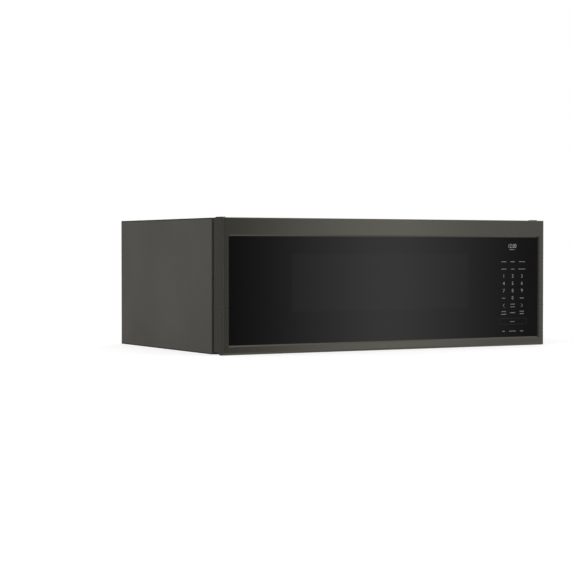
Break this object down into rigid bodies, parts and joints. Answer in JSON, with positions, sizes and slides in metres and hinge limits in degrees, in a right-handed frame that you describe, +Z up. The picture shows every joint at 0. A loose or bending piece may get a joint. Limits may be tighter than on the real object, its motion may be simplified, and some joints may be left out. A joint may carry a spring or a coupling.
{
  "type": "over-the-range microwave",
  "caption": "Low-profile over-the-range microwave hood with a full-width side-hinged glass door, turntable oven, vent blower and drop-out grease filters.",
  "frame": {"origin": "under the middle of the case, on the plane of its base", "axes": "+X to the right seen from the front, +Y to the back wall, +Z up"},
  "size_m": [0.7588, 0.47, 0.2619],
  "materials": {
    "dark_stainless": "brushed dark stainless, satin",
    "case_steel": "dark grey metallic paint, satin",
    "black_paint": "black paint, matte",
    "black_glass": "black tinted glass, polished",
    "clear_glass": "clear glass, polished",
    "screen_steel": "black coated perforated steel",
    "zinc_steel": "zinc-coated sheet, dull",
    "oven_enamel": "light grey oven paint, satin",
    "black_plastic": "black moulded plastic",
    "white_plastic": "white moulded plastic",
    "grey_plastic": "grey moulded plastic",
    "aluminium": "bare aluminium",
    "copper_winding": "varnished copper wire and steel core",
    "green_board": "printed circuit board",
    "mica": "mica sheet, matte",
    "charcoal": "charcoal filter pad"
  },
  "bodies": {
    "case": {"side_panel_left": "case_steel", "side_panel_right": "case_steel", "top_panel": "zinc_steel", "back_panel": "zinc_steel", "base_pan": "case_steel", "front_plate": "black_paint", "front_vent_grille": "black_plastic", "charcoal_filter": "charcoal", "cord_gland": "black_plastic", "hinge_bracket_top": "black_paint", "hinge_bracket_bottom": "black_paint", "cavity_shell": "oven_enamel", "waveguide_cover": "mica", "cavity_lamp": "white_plastic", "turntable_motor": "zinc_steel", "waveguide": "zinc_steel", "magnetron": "aluminium", "transformer": "copper_winding", "capacitor": "aluminium", "cooling_fan_housing": "black_plastic", "power_board": "green_board", "noise_filter_board": "green_board", "latch_board": "white_plastic", "interlock_switches": "grey_plastic", "release_actuator": "grey_plastic", "lamp_lens_left": "white_plastic", "lamp_lens_right": "white_plastic", "lamp_holder_left": "zinc_steel", "lamp_holder_right": "zinc_steel", "blower_housing": "zinc_steel", "blower_motor": "zinc_steel", "exhaust_outlet": "zinc_steel"},
    "door": {"door_frame": "dark_stainless", "door_glass": "black_glass", "window_screen": "screen_steel", "door_panel": "zinc_steel", "inner_window": "clear_glass", "door_back_cover": "black_plastic", "control_board": "green_board", "display_module": "black_plastic", "door_top_bumper": "black_plastic"},
    "latch": {"latch_hooks": "white_plastic"},
    "plunger": {"release_plunger": "white_plastic"},
    "coupler": {"turntable_coupler": "white_plastic"},
    "tray": {"glass_tray": "clear_glass"},
    "ring": {"roller_ring": "white_plastic"},
    "wheel_1": {"roller_1": "white_plastic"},
    "wheel_2": {"roller_2": "white_plastic"},
    "wheel_3": {"roller_3": "white_plastic"},
    "vent_rotor": {"blower_shaft": "zinc_steel", "blower_wheel_left": "grey_plastic", "blower_wheel_right": "grey_plastic"},
    "cooling_rotor": {"cooling_fan_impeller": "grey_plastic"},
    "damper": {"damper_flap": "aluminium"},
    "filter_left": {"grease_filter_left": "aluminium"},
    "filter_right": {"grease_filter_right": "aluminium"}
  },
  "joints": [
    {"name": "door_hinge", "type": "hinge", "parent": "case", "child": "door", "pos_m": [-0.3674, -0.21045, 0.13], "axis": [0, 0, -1], "range_deg": [0, 100]},
    {"name": "latch_slide", "type": "slide", "parent": "door", "child": "latch", "axis": [0, 0, 1], "range_m": [-0.004, 0]},
    {"name": "release_slide", "type": "slide", "parent": "case", "child": "plunger", "axis": [0, 1, 0], "range_m": [0, 0.006], "stiffness_N_per_m": 400, "springref_m": -0.006},
    {"name": "turntable_spin", "type": "hinge", "parent": "case", "child": "coupler", "pos_m": [-0.022, -0.02045, 0.06], "axis": [0, 0, 1], "continuous": true},
    {"name": "tray_lift", "type": "slide", "parent": "coupler", "child": "tray", "axis": [0, 0, 1], "range_m": [0, 0.04]},
    {"name": "ring_spin", "type": "hinge", "parent": "case", "child": "ring", "pos_m": [-0.022, -0.02045, 0.0603], "axis": [0, 0, 1], "continuous": true},
    {"name": "roller_spin_1", "type": "hinge", "parent": "ring", "child": "wheel_1", "pos_m": [0.08, -0.02045, 0.0603], "axis": [1, 0, 0], "continuous": true},
    {"name": "roller_spin_2", "type": "hinge", "parent": "ring", "child": "wheel_2", "pos_m": [-0.073, 0.06788, 0.0603], "axis": [-0.5, 0.866, 0], "continuous": true},
    {"name": "roller_spin_3", "type": "hinge", "parent": "ring", "child": "wheel_3", "pos_m": [-0.073, -0.10878, 0.0603], "axis": [-0.5, -0.866, 0], "continuous": true},
    {"name": "vent_blower_spin", "type": "hinge", "parent": "case", "child": "vent_rotor", "pos_m": [0, 0.19725, 0.112], "axis": [1, 0, 0], "continuous": true},
    {"name": "cooling_fan_spin", "type": "hinge", "parent": "case", "child": "cooling_rotor", "pos_m": [0.3162, 0.15, 0.15], "axis": [0, 1, 0], "continuous": true},
    {"name": "damper_hinge", "type": "hinge", "parent": "case", "child": "damper", "pos_m": [0, 0.15615, 0.2424], "axis": [1, 0, 0], "range_deg": [0, 80]},
    {"name": "filter_drop_left", "type": "slide", "parent": "case", "child": "filter_left", "axis": [0, 0, -1], "range_m": [0, 0.06]},
    {"name": "filter_drop_right", "type": "slide", "parent": "case", "child": "filter_right", "axis": [0, 0, -1], "range_m": [0, 0.06]}
  ],
  "couplings": [
    {"joint": "ring_spin", "follows": "turntable_spin", "ratio": 0.5},
    {"joint": "roller_spin_1", "follows": "turntable_spin", "ratio": -6.375},
    {"joint": "roller_spin_2", "follows": "turntable_spin", "ratio": -6.375},
    {"joint": "roller_spin_3", "follows": "turntable_spin", "ratio": -6.375}
  ]
}
